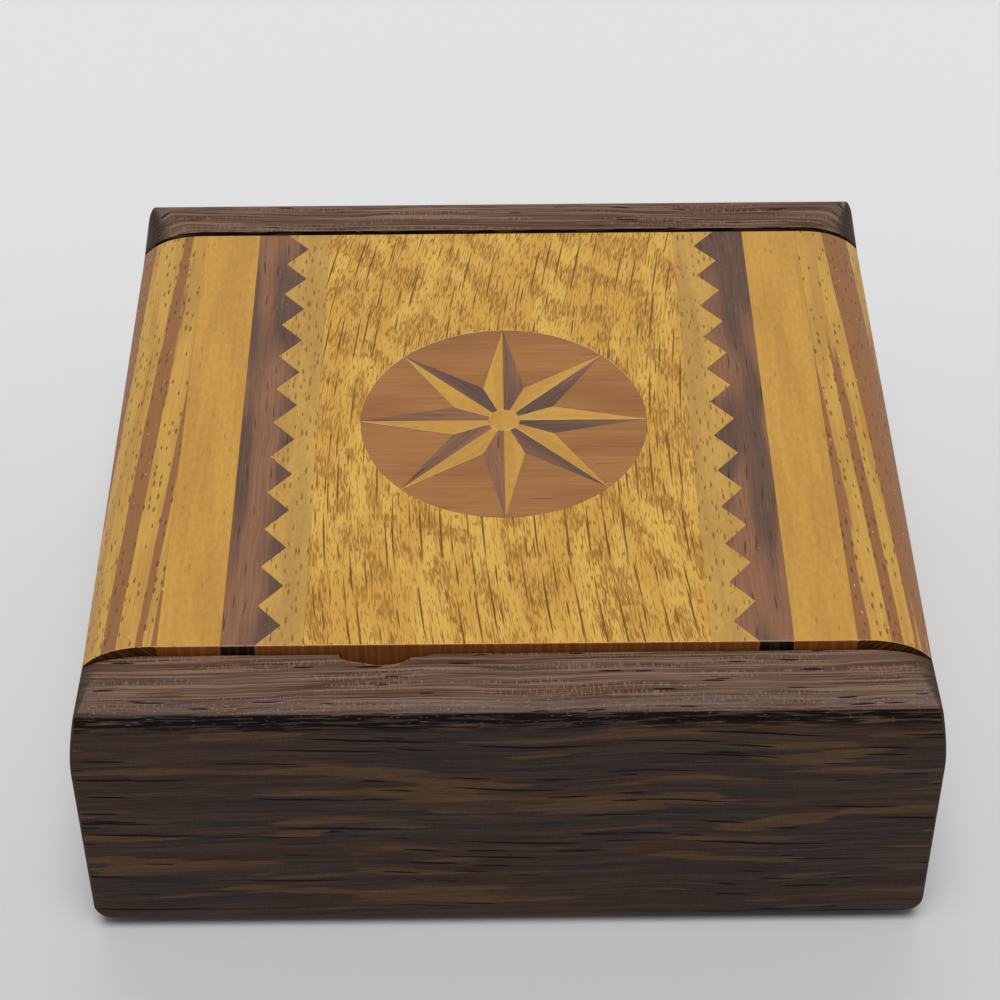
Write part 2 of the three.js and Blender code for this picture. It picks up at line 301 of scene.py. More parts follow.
def shade(wood, base, amount, start, end, low, high):
    """Base made darker or lighter, from low to high as the amount goes from start to end."""
    node = wood.add("ShaderNodeVectorMath", operation="SCALE")
    wood.fill(node.inputs[0], base)
    wood.fill(node.inputs["Scale"], fade(wood, amount, start, end, low, high))
    return node.outputs["Vector"]


made(tint, shade)

# %% [markdown]
# ## The lacquer
#
# The lacquer on a small box like this is satin. It fills most of the grain but sinks a little into
# the pores. A pore is too fine to cut into the shape, so a faint bump shows it. The gloss is set
# straight on the shader, the same all over.

# %% The lacquer
def lacquered(wood, base, hollow, depth, roughness=0.4, gloss=0.22):
    """Finishes a material. Hollow is 1 where the surface is sunk by depth, in millimetres."""
    shader = wood.shader
    wood.fill(shader.inputs["Base Color"], base)
    shader.inputs["Roughness"].default_value = roughness
    shader.inputs["Specular IOR Level"].default_value = gloss
    height = wood.calc("SUBTRACT", 1.0, hollow)
    bump = wood.add("ShaderNodeBump", {"Height": height, "Distance": depth * MM, "Strength": 1.0})
    wood.fill(shader.inputs["Normal"], bump.outputs["Normal"])
    return wood.material


made(lacquered)

# %% [markdown]
# ## Copying a piece
#
# The frame's pieces are loose triangles with knife-sharp edges, and they are never changed. A copy
# takes the place of each one. It is merged, and its flat faces are made whole again, so that only
# real edges are left to soften. The copy carries a grain map: the maker's choice of how the board
# was turned before the piece was sawn from it.

# %% Copying a piece
SAME_POINT = 0.002 * MM
SAME_PLANE = math.radians(0.3)


def copied(node):
    """A node's shape as whole faces and real edges."""
    shape = bmesh.new()
    shape.from_mesh(frame["nodes"][node].data)
    bmesh.ops.remove_doubles(shape, verts=shape.verts, dist=SAME_POINT)
    bmesh.ops.dissolve_limit(shape, angle_limit=SAME_PLANE, verts=shape.verts, edges=shape.edges)
    return shape


def lay_grain(shape, across, along, shift=(0.0, 0.0)):
    """Writes the grain map: millimetres across and along the grain, moved on by a shift."""
    grain = shape.loops.layers.uv.new("grain")
    for face in shape.faces:
        for loop in face.loops:
            place = loop.vert.co / MM
            run = (place.dot(Vector(across)) + shift[0], place.dot(Vector(along)) + shift[1])
            loop[grain].uv = run


def soften(shape, edges, width, segments=2):
    """Rounds edges over by a width in millimetres, and keeps the piece as high as it was."""
    top = max(corner.co.z for corner in shape.verts)
    bmesh.ops.bevel(shape, geom=edges, offset=width * MM, offset_type="OFFSET", segments=segments,
                    profile=0.5, affect="EDGES", material=-1, clamp_overlap=True)
    for corner in shape.verts:
        corner.co.z = min(corner.co.z, top)


made(copied, lay_grain, soften)

# %% [markdown]
# ## Putting a finished piece in its place
#
# A finished piece has to move with the same body as the node it stands for. The body is written in
# the frame's record, so it is looked up there. Faces are smooth up to a real corner, and weighted
# normals keep the broad faces flat beside a small rounded edge.

# %% Putting a finished piece in its place
record = frame["record"]
bodies = {node: body for body, nodes in record["behaviour"]["bodies"].items() for node in nodes}
REAL_CORNER = math.radians(32)


def finished(node, shape, material):
    """Makes a shape the piece that stands for a node."""
    mesh = bpy.data.meshes.new(node + "_finished")
    for face in shape.faces:
        face.smooth = True
    shape.to_mesh(mesh)
    shape.free()
    mesh.set_sharp_from_angle(angle=REAL_CORNER)
    mesh.materials.append(material)
    piece = bpy.data.objects.new(node + "_finished", mesh)
    bpy.context.scene.collection.objects.link(piece)
    normals = piece.modifiers.new("normals", "WEIGHTED_NORMAL")
    normals.keep_sharp = True
    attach(piece, bodies[node])
    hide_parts(node)
    return piece


# %% [markdown]
# ## The rails' grain
#
# The rails are a dark, coarse wood whose layers run from end to end. A single pair of coordinates
# serves the front and the top: along the rail, and across it, where across goes on over the arris
# without a break. An unwrapped map could do that too, but it would need care at every edge. The
# grain is never quite straight, so two slow waves are added, one over the whole rail and one that
# makes each crack a little crooked. The heights of the waves are in millimetres.

# %% The rails' grain
LONG_WAVE = 1.6
SHORT_WAVE = 0.2
RAIL_SLOPE = -0.02


def rail_grain(wood, outward, seed):
    """Coordinates of a rail whose outer face looks along outward times Y."""
    along = toward(wood, (1, 0, 0))
    across = toward(wood, (0, -outward, 1))
    far = laid(wood, wood.calc("MULTIPLY", across, 0.04), along)
    slow = blotches(wood, far, (1, 26), seed, 1)
    near = laid(wood, wood.calc("MULTIPLY", across, 0.5), along)
    quick = blotches(wood, near, (1, 3.4), seed + 1, 1)
    slow = wood.calc("MULTIPLY", slow, LONG_WAVE)
    quick = wood.calc("MULTIPLY", quick, SHORT_WAVE)
    wave = wood.calc("ADD", slow, quick)
    return leaning(wood, laid(wood, wood.calc("ADD", across, wave), along), RAIL_SLOPE)


made(rail_grain)

# %% [markdown]
# ## The rails' front
#
# On the front face near-black wood carries thin brown streaks and a few broad brown lenses, and long
# black cracks where pores were cut open lengthways. Each is a mark of its own kind: streaks and
# lenses are stretched noise with a high threshold, cracks are narrow dashes, which cross the layers
# at a slight slope.

# %% The rails' front
CRACK_SLOPE = 0.05


def rail_front(wood, grain, seed):
    """The colour of the upright faces, and where it is cracked."""
    drift = fade(wood, blotches(wood, grain, (7, 30), seed + 2), 0.4, 0.62)
    base = tint(wood, colour(58, 50, 47), drift, colour(68, 51, 43))
    bands = streaks(wood, grain, (0.8, 26), 0.47, 0.56, seed + 3, 2)
    base = tint(wood, base, bands, colour(82, 64, 53), 0.52)
    spread = fade(wood, blotches(wood, grain, (7, 22), seed + 4, 1), 0.35, 0.65, -0.08, 0.05)
    lens = streaks(wood, grain, (1.9, 23), 0.555, 0.6, seed + 5, 2, spread)
    base = tint(wood, base, lens, colour(97, 74, 52), 0.8)
    base = shade(wood, base, blotches(wood, grain, (0.2, 8), seed + 6, 2), 0.3, 0.7, 0.8, 1.2)
    rays = blotches(wood, grain, (1.3, 0.17), seed + 7, 1)
    base = shade(wood, base, rays, 0.5, 0.75, 1.0, 1.16)
    crossing = leaning(wood, grain, CRACK_SLOPE)
    long = dashes(wood, crossing, (2.2, 21), (0.36, 18), 0.55, seed + 8, 0.3)
    crowd = fade(wood, blotches(wood, grain, (8, 20), seed + 9, 1), 0.4, 0.62, 0.0, 0.5)
    short = dashes(wood, crossing, (1.3, 8), (0.32, 6.5), crowd, seed + 10, 0.3)
    return base, wood.calc("MAXIMUM", long, short)


made(rail_front)

# %% [markdown]
# ## The torn edge
#
# Just under the arris the cutter has torn the wood a little. The torn fibres hold the dark of the
# polish and look black, with a few pale nicks. A strip of plain black would look painted. So the
# lines are streaks like the others, made to crowd towards the arris and to end a few millimetres
# under it.

# %% The torn edge
TORN_FROM = 1.6
TORN_TO = 4.2
NICKS_TO = 2.8


def torn_edge(wood, base, grain, height, seed):
    """The ragged black lines just under a rail's top, which is at a height in millimetres."""
    depth = wood.calc("SUBTRACT", height, toward(wood, (0, 0, 1)))
    band = fade(wood, depth, TORN_TO, TORN_FROM)
    crowd = wood.calc("MULTIPLY", band, 0.2)
    lines = streaks(wood, grain, (0.36, 7), 0.62, 0.68, seed + 11, 2, crowd)
    base = tint(wood, base, wood.calc("MULTIPLY", band, lines), colour(16, 11, 10), 0.95)
    nicks = streaks(wood, grain, (0.2, 1.1), 0.71, 0.76, seed + 12)
    nicks = wood.calc("MULTIPLY", fade(wood, depth, NICKS_TO, TORN_FROM), nicks)
    return tint(wood, base, nicks, colour(128, 112, 104), 0.5)


made(torn_edge)

# %% [markdown]
# ## The rails' top
#
# The top is the same wood cut the other way, warmer and much lighter, and part of that lightness is
# painted sheen, the grey of a lacquer that catches the light. Fine dark lines run along it, and
# across them stand rows of short pale ticks, like the teeth of a comb, where the saw crossed the
# rays. The outer arris is worn, with a painted greyish sheen and painted glints on it, and pale grey
# rims round a few open pores left in it. The inner one and the rim of the worn chip are splintered
# here and there, down to paler wood, and that pale edge is partly a painted highlight. A mask could
# be painted for each of these. But they all lie where the surface leans, so its lean, from -1 to 1,
# finds them on any rail.

# %% The rails' top
LEANS_OUT = (0.0, 0.25)
NOT_YET_FRONT = (0.9, 0.6)
LEANS_IN = (-0.1, -0.35)


def rail_top(wood, grain, tilt, seed):
    """The colour of the top, with its painted sheen and highlights, and where its pores are.
    Tilt is how much it leans outwards.
    """
    drift = fade(wood, blotches(wood, grain, (3, 24), seed + 13), 0.38, 0.62)
    # the top's base is lighter than the front's, partly as painted sheen
    base = tint(wood, colour(103, 81, 69), drift, colour(94, 69, 56))
    base = shade(wood, base, blotches(wood, grain, (0.3, 18), seed + 14, 2), 0.3, 0.7, 0.74, 1.22)
    lines = streaks(wood, grain, (0.3, 14), 0.54, 0.6, seed + 15, 2)
    base = tint(wood, base, lines, colour(62, 41, 33), 0.6)
    pale = streaks(wood, grain, (0.3, 24), 0.55, 0.6, seed + 16, 2)
    base = tint(wood, base, pale, colour(152, 120, 98), 0.55)
    rows = streaks(wood, grain, (1.1, 18), 0.5, 0.56, seed + 17)
    ticks = wood.calc("MULTIPLY", rows, streaks(wood, grain, (1.0, 0.2), 0.52, 0.66, seed + 24))
    base = tint(wood, base, ticks, colour(152, 122, 102), 0.4)
    # painted sheen on the worn outer arris: a greyish shine in patches, then painted glints
    arris_sheen = wood.calc("MULTIPLY", fade(wood, tilt, *LEANS_OUT), fade(wood, tilt, *NOT_YET_FRONT))
    patchy = fade(wood, blotches(wood, grain, (0.5, 4), seed + 18, 3), 0.3, 0.6)
    base = tint(wood, base, wood.calc("MULTIPLY", arris_sheen, patchy), colour(108, 92, 84), 0.65)
    painted_glints = streaks(wood, grain, (0.24, 0.5), 0.66, 0.78, seed + 19)
    base = tint(wood, base, wood.calc("MULTIPLY", arris_sheen, painted_glints), colour(168, 156, 148), 0.4)
    # pale inner arris: splintered wood and a painted highlight
    splinters_and_highlight = wood.calc("MULTIPLY", fade(wood, tilt, *LEANS_IN), patchy)
    base = tint(wood, base, splinters_and_highlight, colour(166, 132, 108), 0.9)
    # pale grey rims round the arris pores, only where the painted sheen lies
    around = dashes(wood, grain, (1.6, 9), (0.85, 5.2), 0.3, seed + 20, 0.5)
    base = tint(wood, base, wood.calc("MULTIPLY", around, arris_sheen), colour(150, 138, 128), 0.6)
    pores = dashes(wood, grain, (1.6, 9), (0.46, 4.6), 0.3, seed + 20, 0.3)
    small = dashes(wood, grain, (1.3, 5), (0.3, 3.2), 0.3, seed + 21, 0.4)
    return base, wood.calc("MAXIMUM", wood.calc("MULTIPLY", pores, arris_sheen), small)


made(rail_top)

# %% [markdown]
# ## The rails' ends, and the whole rail
#
# On the sawn ends neither pattern would be right, because there the pores are cut across. They show
# as dark dots between fine layers, which a pattern in Y and Z gives. The way the surface faces then
# tells front, top and end apart, so that one finish covers the whole rail.

# %% The rails' ends, and the whole rail
FACES_UP = (0.56, 0.72)
FACES_AN_END = (0.25, 0.7)


def rail_end(wood, seed):
    """The colour of the sawn ends."""
    flat = laid(wood, toward(wood, (0, 1, 0.25)), toward(wood, (0, -0.25, 1)))
    rings = blotches(wood, flat, (0.32, 5), seed + 22, 3)
    base = tint(wood, colour(40, 32, 28), fade(wood, rings, 0.3, 0.7), colour(72, 58, 49))
    dots = dashes(wood, flat, (0.55, 0.6), (0.24, 0.26), 0.4, seed + 23, 0.5)
    return tint(wood, base, dots, colour(24, 17, 14), 0.7)


def rail_wood(node, outward, seed):
    wood = Finish(node + "_wood")
    grain = rail_grain(wood, outward, seed)
    tilt = turned_to(wood, (0, outward, 0))
    up = fade(wood, turned_to(wood, (0, 0, 1)), *FACES_UP)
    end = fade(wood, wood.calc("ABSOLUTE", turned_to(wood, (1, 0, 0))), *FACES_AN_END)
    front, cracks = rail_front(wood, grain, seed)
    front = torn_edge(wood, front, grain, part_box(node)[1].z / MM, seed)
    top, pores = rail_top(wood, grain, tilt, seed)
    # where the surface faces up, the top's colour, which is partly painted sheen
    dark = tint(wood, front, up, top)
    hollow = wood.calc("ADD", wood.calc("MULTIPLY", pores, up),
                       wood.calc("MULTIPLY", cracks, wood.calc("SUBTRACT", 1.0, up)))
    hollow = wood.calc("MULTIPLY", hollow, wood.calc("SUBTRACT", 1.0, end))
    dark = tint(wood, tint(wood, dark, hollow, colour(14, 9, 8), 0.95), end, rail_end(wood, seed))
    return lacquered(wood, dark, hollow, 0.09, 0.5, 0.05)


made(rail_end, rail_wood)

# %% [markdown]
# ## The rails
#
# Each rail is the plain shape of the frame with its edges eased by fine paper. The outer rounding
# is already in the shape. What is left sharp is the arris beside the lid and the rim of the worn
# chip, and those get a narrow round that catches a thread of light. A Bevel modifier would also round
# the joints, which stay crisp on a real box, so the edges are picked by the way their faces look.

# %% The rails
RAIL_EASED = 0.18
OVER_THE_GROOVE = 30 * MM
AT_THE_LID = -0.9
NOT_AT_THE_LID = -0.5
UPWARD = 0.25


def inner_arris(shape, outward):
    """The edges where a face that looks at the lid meets one that looks up."""
    found = []
    for edge in shape.edges:
        if len(edge.link_faces) != 2:
            continue
        facing = sorted(face.normal.y * outward for face in edge.link_faces)
        upper = max(face.normal.z for face in edge.link_faces)
        at_lid = facing[0] < AT_THE_LID and facing[1] > NOT_AT_THE_LID
        if at_lid and upper > UPWARD and edge.verts[0].co.z > OVER_THE_GROOVE:
            found.append(edge)
    return found


for node, outward, seed in (("front_rail", -1, 1), ("back_rail", 1, 31)):
    shape = copied(node)
    soften(shape, inner_arris(shape, outward), RAIL_EASED)
    lay_grain(shape, (0, 0, 1), (1, 0, 0))
    finished(node, shape, rail_wood(node, outward, seed))

# %% [markdown]
# ## Plain brown wood
#
# Walls, base and core are a quiet brown wood that is chosen not to compete with the lid. It needs
# only a soft drift of colour, fibres and fine pores, all from the grain map, so that one finish
# serves boards that lie in different directions.

# %% Plain brown wood
def plain_wood(name):
    wood = Finish(name)
    drift = blotches(wood, wood.grain, (6, 60), 1, 1)
    base = tint(wood, colour(146, 101, 62), fade(wood, drift, 0.38, 0.64), colour(132, 89, 54))
    layers = streaks(wood, wood.grain, (1.1, 60), 0.46, 0.62, 4, 2)
    base = tint(wood, base, layers, colour(112, 73, 43), 0.55)
    base = shade(wood, base, blotches(wood, wood.grain, (0.16, 8), 2, 3), 0.25, 0.75, 0.84, 1.12)
    pores = dashes(wood, wood.grain, (0.7, 3.4), (0.13, 2.6), 0.6, 3, 0.7)
    base = tint(wood, base, pores, colour(84, 52, 28), 0.6)
    return lacquered(wood, base, pores, 0.03, 0.5, 0.3)


plain = plain_wood("plain_brown_wood")
boards = {
    "left_wall": ((0, 0, 1), (0, 1, 0), (0, 0)),
    "right_wall": ((0, 0, 1), (0, 1, 0), (40, 7)),
    "base_board": ((0, 1, 0), (1, 0, 0), (90, 3)),
    "lid_core": ((1, 0, 1), (0, 1, 0), (160, 0)),
}
for node, (across, along, shift) in boards.items():
    shape = copied(node)
    lay_grain(shape, across, along, shift)
    finished(node, shape, plain)
print("plain boards:", len(boards))

# %% [markdown]
# ## Where an inlay's edges are
#
# The inlays are flat on top, with straight sides. Their edges are of two kinds. Those at the front
# and back of the lid are free, so they are eased and show as a fine light line. Those against a
# neighbour are sanded level with it and keep only a trace of a groove, where the glue line is.

# %% Where an inlay's edges are
lid_ends = [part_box("flecked_field")[corner].y for corner in (0, 1)]
EASED = 0.14
GLUE_GROOVE = 0.035
AT_AN_END = 0.02 * MM
TOP_FACE = 0.1
SIDE_FACE = 0.05


def top_rim(shape, free):
    """The top edges at the lid's ends if free is true, or else those against a neighbour."""
    found = []
    for edge in shape.edges:
        if len(edge.link_faces) != 2:
            continue
        top, side = sorted(edge.link_faces, key=lambda face: -face.normal.z)
        if top.normal.z < TOP_FACE or abs(side.normal.z) > SIDE_FACE:
            continue
        middle = side.calc_center_median().y
        at_end = min(abs(middle - end) for end in lid_ends) < AT_AN_END
        if at_end == free:
            found.append(edge)
    return found


def inlay(node, material, across=(1, 0, 0), along=(0, 1, 0), shift=(0.0, 0.0)):
    """Cuts, eases and sets one inlay."""
    shape = copied(node)
    soften(shape, top_rim(shape, True), EASED)
    soften(shape, top_rim(shape, False), GLUE_GROOVE, 1)
    lay_grain(shape, across, along, shift)
    return finished(node, shape, material)


print("the lid runs from", [round(end / MM, 2) for end in lid_ends])

# %% [markdown]
# ## Cut ends and the eased edge
#
# At the front and back of the lid the saw went across the grain. The open ends drink the lacquer and
# go deep amber or almost black, partly as painted shade. On the eased edge between them and the top a
# pale line is a painted highlight. The way the surface faces gives both, for any inlay.

# %% Cut ends and the eased edge
LEANS_TO_AN_END = (0.12, 0.4)
FACES_THE_END = (0.8, 0.95)


def with_ends(wood, base, end, pale):
    """Lays the cut ends' dark, partly painted shade, and the eased edge's painted highlight on a
    wood.
    """
    across = wood.calc("ABSOLUTE", turned_to(wood, (0, 1, 0)))
    # the eased edge's painted highlight, in ragged patches
    ragged = fade(wood, blotches(wood, wood.grain, (0.8, 3), 90, 2), 0.25, 0.5)
    arris_sheen = wood.calc("MULTIPLY", fade(wood, across, *LEANS_TO_AN_END), ragged)
    base = tint(wood, base, arris_sheen, pale, 0.9)
    # the cut ends' colour, partly painted shade
    end_grain_and_shade = tint(wood, end, streaks(wood, wood.grain, (0.6, 60), 0.4, 0.7, 91, 1), base, 0.1)
    return tint(wood, base, fade(wood, across, *FACES_THE_END), end_grain_and_shade)


made(with_ends)

# %% [markdown]
# ## Growth rings
#
# In the golden wood of the field, small flecks crowd together in arcs, where the saw crossed the
# growth rings. Rings are circles round the heart of the tree. So the arcs are a sine of the distance
# from a point outside the box, and noise warps and breaks them. A regular wave would look printed.

# %% Growth rings
RING_CENTRE = (-72.0, -40.0)
RING_SPACING = 5.8
RING_WARP = 2.2


def ring_arcs(wood, grain):
    """How crowded the flecks are, from 0 to 1, in broken arcs."""
    from_centre = wood.vector("SUBTRACT", grain, (*RING_CENTRE, 0.0)).outputs["Vector"]
    distance = wood.vector("LENGTH", from_centre).outputs["Value"]
    warp = wood.calc("MULTIPLY", blotches(wood, grain, (12, 18), 4, 2), RING_WARP)
    rings = wood.calc("ADD", wood.calc("DIVIDE", distance, RING_SPACING), warp)
    wave = wood.calc("SINE", wood.calc("MULTIPLY", rings, 2 * math.pi))
    broken = fade(wood, blotches(wood, grain, (2.6, 5.0), 5, 2), 0.3, 0.58)
    return wood.calc("MULTIPLY", fade(wood, wave, -0.7, 0.6), broken)


made(ring_arcs)

# %% [markdown]
# ## Flecked golden wood
#
# The field has two kinds of mark. Long thin pores run from front to back and bow a little, and
# short soft flecks lie between them. The flecks are streaks, and the ring arcs are added to the
# noise that draws them, so that they come sooner there and crowd. The dark of the cut ends, partly
# painted shade, and the painted highlight of the eased edge are named here, because all the yellow
# woods share them.

# %% Flecked golden wood
# dark cut ends, partly painted shade, and the eased edge's painted highlight
YELLOW_ENDS = (colour(142, 76, 28), colour(240, 204, 146))
STRAIGHT_AT = -5.0
BOW = 0.0023


def flecked_wood(name):
    wood = Finish(name)
    run = toward(wood, (0, 1, 0))
    away = wood.calc("SUBTRACT", run, STRAIGHT_AT)
    bow = wood.calc("MULTIPLY", wood.calc("MULTIPLY", away, away), BOW)
    grain = laid(wood, wood.calc("SUBTRACT", toward(wood, (1, 0, 0)), bow), run)
    drift = fade(wood, blotches(wood, grain, (4, 17), 1), 0.38, 0.62)
    base = tint(wood, colour(216, 172, 80), drift, colour(204, 156, 68))
    base = shade(wood, base, blotches(wood, grain, (0.18, 6), 3, 3), 0.25, 0.75, 0.92, 1.06)
    crowd = ring_arcs(wood, grain)
    base = tint(wood, base, crowd, colour(190, 140, 60), 0.3)
    nearer = wood.calc("MULTIPLY", crowd, 0.2)
    flecks = streaks(wood, grain, (0.18, 1.2), 0.68, 0.75, 6, 0, nearer)
    longer = streaks(wood, grain, (0.24, 2.8), 0.7, 0.77, 7, 0, nearer)
    base = tint(wood, base, longer, colour(160, 110, 40), 0.6)
    base = tint(wood, base, flecks, colour(146, 98, 30), 0.72)
    flecks = wood.calc("MAXIMUM", flecks, longer)
    pores = dashes(wood, grain, (1.5, 12), (0.28, 13), 0.75, 8, 0.6)
    short = dashes(wood, grain, (1.1, 5.2), (0.22, 4.6), 0.45, 9, 0.6)
    pores = wood.calc("MAXIMUM", pores, short)
    base = tint(wood, base, pores, colour(108, 64, 14), 0.95)
    base = with_ends(wood, base, *YELLOW_ENDS)
    hollow = wood.calc("MAXIMUM", pores, wood.calc("MULTIPLY", flecks, 0.3))
    return lacquered(wood, base, hollow, 0.03)


golden = flecked_wood("flecked_wood")
field = inlay("flecked_field", golden)
print("field set,", [round(side / MM, 1) for side in field.dimensions], "mm")

# %% [markdown]
# ## Olive and honey bands
#
# Two yellow woods frame the field. The olive one is a little greyer, with short brown specks. The
# honey one is almost plain, and a plain wood is the hardest to make convincing: it gets only a slow
# drift and fibres that are barely there. Both share one recipe, with their own numbers.

# %% Olive and honey bands
def close_wood(name, light, dark, fibre, speck, specks, ends):
    """A close-grained wood: two colours, fibres, and specks in a share of the cells."""
    wood = Finish(name)
    drift = fade(wood, blotches(wood, wood.grain, (3.2, 24), 11), 0.36, 0.64)
    base = tint(wood, light, drift, dark)
    fibres = blotches(wood, wood.grain, (0.5, 16), 12, 3)
    base = shade(wood, base, fibres, 0.25, 0.75, 1 - fibre, 1 + fibre)
    base = shade(wood, base, blotches(wood, wood.grain, (0.5, 1.1), 15, 3), 0.3, 0.7, 0.94, 1.05)
    loose = fade(wood, blotches(wood, wood.grain, (3, 8), 13), 0.35, 0.65, 0.4, 1.0)
    share = wood.calc("MULTIPLY", loose, specks)
    marks = dashes(wood, wood.grain, (0.75, 2.1), (0.3, 1.5), share, 14, 0.5)
    base = tint(wood, base, marks, speck, 0.8)
    base = with_ends(wood, base, *ends)
    return lacquered(wood, base, marks, 0.025)


olive = close_wood("olive_wood", colour(197, 154, 76), colour(181, 139, 70), 0.05,
                   colour(128, 84, 32), 1.0, YELLOW_ENDS)
honey = close_wood("honey_wood", colour(197, 149, 68), colour(188, 140, 62), 0.04,
                   colour(164, 116, 50), 0.1, YELLOW_ENDS)
for side, shift in (("left", 0.0), ("right", 37.0)):
    inlay(side + "_olive_band", olive, shift=(shift, 2 * shift))
    inlay(side + "_honey_band", honey, shift=(shift, 2 * shift))
print("olive and honey bands set")

# %% [markdown]
# ## Purple-brown wood
#
# The darkest inlay drifts from a reddish brown to a smoky one within one board. Fine pale streaks
# wander through it, with a few black checks and tiny white specks that are painted glints. The
# streaks are dashes on grain that is first bent by noise, so that no two run quite alike.

# %% Purple-brown wood
def smoky_wood(name):
    wood = Finish(name)
    sway = wood.calc("MULTIPLY", blotches(wood, wood.grain, (3, 12), 20, 1), 1.3)
    sway = wood.add("ShaderNodeCombineXYZ", {"X": sway}).outputs["Vector"]
    grain = wood.vector("ADD", wood.grain, sway).outputs["Vector"]
    drift = fade(wood, blotches(wood, grain, (4.5, 30), 21, 1), 0.4, 0.6)
    base = tint(wood, colour(136, 94, 68), drift, colour(94, 69, 56))
    base = shade(wood, base, blotches(wood, grain, (0.25, 9), 22, 3), 0.3, 0.7, 0.86, 1.14)
    pale = dashes(wood, grain, (0.75, 4.5), (0.2, 4.0), 0.5, 23, 0.9)
    base = tint(wood, base, pale, colour(150, 116, 92), 0.4)
    checks = dashes(wood, grain, (1.3, 5), (0.22, 3.6), 0.45, 24, 0.6)
    base = tint(wood, base, checks, colour(40, 26, 20), 0.8)
    # tiny white specks: painted glints, sunk a little like pores
    specks = dashes(wood, grain, (0.9, 1.6), (0.1, 0.35), 0.12, 25, 0.8)
    base = tint(wood, base, specks, colour(205, 195, 185), 0.6)
    # near-black cut ends, partly painted shade, and a painted highlight on the eased edge
    base = with_ends(wood, base, colour(30, 14, 9), colour(150, 122, 102))
    return lacquered(wood, base, wood.calc("MAXIMUM", checks, specks), 0.03)


smoky = smoky_wood("purple_brown_wood")
for side, shift in (("left", 0.0), ("right", 53.0)):
    inlay(side + "_sawtooth_band", smoky, shift=(shift, shift))
print("sawtooth bands set")

# %% [markdown]
# ## Striped edges
#
# The wood that turns over the shoulders is yellow with clear red-brown stripes, a millimetre or two
# wide, that drift slowly outwards. Its pores are coarse and dark, and some are filled white. The
# stripes come from noise that hardly changes along the grain, cut by a quick fade so that their
# sides are crisp. The grain map runs down the curve as well as across it.

# %% Striped edges
def striped_wood(name):
    wood = Finish(name)
    bands = blotches(wood, wood.grain, (2.2, 190), 31, 1)
    edge = blotches(wood, wood.grain, (0.5, 5), 32, 2)
    value = wood.calc("ADD", bands, wood.calc("MULTIPLY", edge, 0.06))
    drift = fade(wood, blotches(wood, wood.grain, (2, 20), 33), 0.4, 0.65)
    base = tint(wood, colour(198, 154, 72), drift, colour(184, 138, 66))
    base = tint(wood, base, fade(wood, value, 0.555, 0.59), colour(146, 97, 57))
    base = shade(wood, base, blotches(wood, wood.grain, (0.25, 8), 34, 3), 0.25, 0.75, 0.93, 1.07)
    drops = dashes(wood, wood.grain, (0.8, 1.8), (0.4, 1.4), 0.45, 35, 0.6)
    base = tint(wood, base, drops, colour(92, 56, 26), 0.75)
    filled = dashes(wood, wood.grain, (0.9, 2.1), (0.22, 0.6), 0.2, 36, 0.7)
    base = tint(wood, base, filled, colour(226, 208, 170), 0.7)
    # dark cut ends, partly painted shade, and a painted highlight on the eased edge
    base = with_ends(wood, base, colour(70, 32, 10), colour(232, 194, 138))
    return lacquered(wood, base, wood.calc("MAXIMUM", drops, filled), 0.04)


striped = striped_wood("striped_wood")
inlay("left_striped_edge", striped, (1, -0.05, 1), (0.05, 1, 0), (11, 4))
inlay("right_striped_edge", striped, (1, 0.05, -1), (-0.05, 1, 0), (47, 0))
print("striped edges set")

# %% [markdown]
# ## The star
#
# The star lies in a round of red-brown wood, sawn from one board so that its fine lines run across
# the box from piece to piece. Each point is split down its middle into a honey half and a smoky
# half, and a maker lays the grain of both along the point. So the light and dark pieces get a grain
# map that turns with the point, and each takes another part of its board.

# %% The star
def russet_wood(name):
    wood = Finish(name)
    drift = fade(wood, blotches(wood, wood.grain, (4, 22), 41), 0.36, 0.64)
    base = tint(wood, colour(162, 111, 63), drift, colour(149, 99, 55))
    base = shade(wood, base, blotches(wood, wood.grain, (0.28, 11), 42, 3), 0.25, 0.75, 0.88, 1.1)
    lines = dashes(wood, wood.grain, (0.6, 8), (0.14, 6.5), 0.6, 43, 0.85)
    base = tint(wood, base, lines, colour(134, 86, 46), 0.55)
    checks = dashes(wood, wood.grain, (1.9, 9), (0.16, 4.5), 0.2, 44, 0.7)
    base = tint(wood, base, checks, colour(96, 56, 30), 0.8)
    hollow = wood.calc("MAXIMUM", checks, wood.calc("MULTIPLY", lines, 0.3))
    return lacquered(wood, base, hollow, 0.02)


russet = russet_wood("red_brown_wood")
inlay("star_disc", honey, shift=(15, 90))
for number in range(1, 9):
    turn = (number - 1) * math.pi / 4
    along = (math.cos(turn), math.sin(turn), 0)
    across = (-math.sin(turn), math.cos(turn), 0)
    inlay(f"star_light_{number}", honey, across, along, (17 * number, 5))
    inlay(f"star_dark_{number}", smoky, across, along, (23 * number, 61))
    inlay(f"star_ground_{number}", russet, (0, 1, 0), (1, 0, 0))
print("points set:", number)

# %% [markdown]
# ## The table
#
# The box stands on plain pale paper, which is a shade darker towards the camera. A lamp close by
# would give that slow change, but it would leave the far paper grey in a low view. So the light is
# even, and the change is painted shade in the paper's own colour. The paper is larger than any view
# needs.

# %% The table
PAPER_REACH = 3
NEAR_EDGE = -80
FAR_EDGE = 130

shape = bmesh.new()
bmesh.ops.create_grid(shape, x_segments=1, y_segments=1, size=PAPER_REACH)
paper_mesh = bpy.data.meshes.new("paper")
shape.to_mesh(paper_mesh)
shape.free()
paper = bpy.data.objects.new("paper", paper_mesh)
bpy.context.scene.collection.objects.link(paper)

finish = Finish("pale_paper")
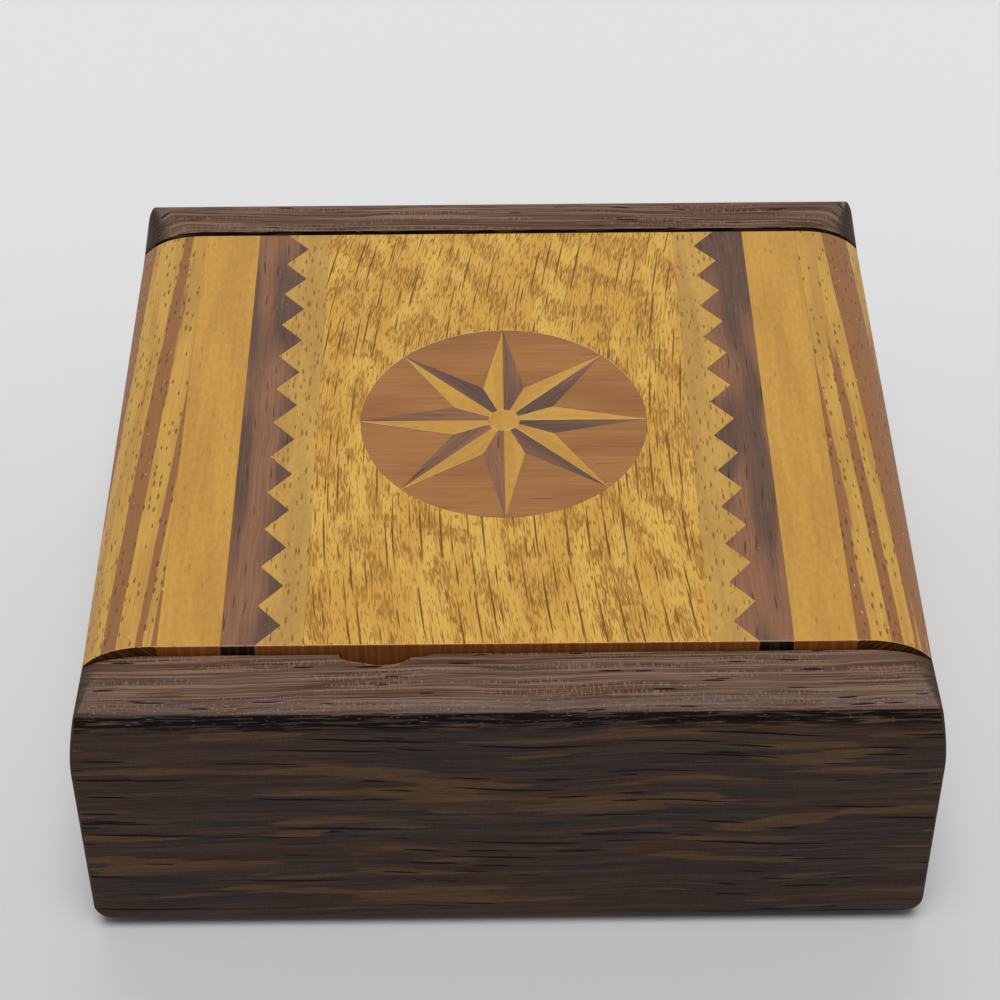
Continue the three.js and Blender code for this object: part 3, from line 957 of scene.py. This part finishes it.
# painted shade: the paper darkens towards the camera
depth = fade(finish, toward(finish, (0, 1, 0)), NEAR_EDGE, FAR_EDGE)
tone = tint(finish, colour(210, 210, 211), depth, colour(229, 229, 229))
finish.fill(finish.shader.inputs["Base Color"], tone)
finish.shader.inputs["Roughness"].default_value = 0.7
finish.shader.inputs["Specular IOR Level"].default_value = 0.15
paper_mesh.materials.append(finish.material)
print("paper", round(paper.dimensions.x, 1), "m wide")

# %% [markdown]
# ## Surround
#
# A white room round the table would fill the shade in front of the box far too much. Without any,
# the shade would be black and the lacquer dull. So the surround is weak where it lights things, and
# as bright as the paper where the camera or the lacquer looks at it. The kind of ray tells which.

# %% Surround
FILL = 0.2
SEEN = 0.75

world = bpy.data.worlds.new("surround")
bpy.context.scene.world = world
world.use_nodes = True
surround = world.node_tree.nodes["Background"]
surround.inputs["Color"].default_value = (1.0, 1.0, 1.0, 1.0)
ray = world.node_tree.nodes.new("ShaderNodeLightPath")
either = world.node_tree.nodes.new("ShaderNodeMath")
either.operation = "MAXIMUM"
world.node_tree.links.new(ray.outputs["Is Camera Ray"], either.inputs[0])
world.node_tree.links.new(ray.outputs["Is Glossy Ray"], either.inputs[1])
level = world.node_tree.nodes.new("ShaderNodeMath")
level.operation = "MULTIPLY_ADD"
level.inputs[1].default_value = SEEN - FILL
level.inputs[2].default_value = FILL
world.node_tree.links.new(either.outputs[0], level.inputs[0])
world.node_tree.links.new(level.outputs[0], surround.inputs["Strength"])
print("surround fills with", FILL, "and is seen as", SEEN)

# %% [markdown]
# ## Light
#
# A broad even light from overhead, a little towards the camera, shows the top clearly and leaves the
# front in soft shade. A weaker one comes from beyond the box, as a far window would give it. The box
# keeps that one off the paper in front of it, in a wide pale shadow. It is left out of the gloss, so
# that the lid doesn't glare. Area lamps would do, but they fall off over the paper. With the
# surround, the two add up to a level at which a colour on the lid renders as it is written.

# %% Light
OVERHEAD = Vector((0.0, -0.22, 0.95))
FAR_WINDOW = Vector((0.0, 0.7, 0.75))


def broad_light(name, source, width, energy):
    """Even light from one side of the room, as wide as so many degrees."""
    light = bpy.data.lights.new(name, "SUN")
    light.angle = math.radians(width)
    light.energy = energy
    lamp = bpy.data.objects.new(name, light)
    lamp.location = source
    lamp.rotation_euler = (-source).to_track_quat("-Z", "Y").to_euler()
    bpy.context.scene.collection.objects.link(lamp)
    return lamp


broad_light("overhead", OVERHEAD, 33, 2.04)
window = broad_light("far_window", FAR_WINDOW, 50, 0.6)
window.visible_glossy = False
bpy.context.scene.view_settings.view_transform = "Standard"
leans = math.degrees(OVERHEAD.angle(Vector((0, 0, 1))))
print("light leans", round(leans, 1), "degrees towards the camera")
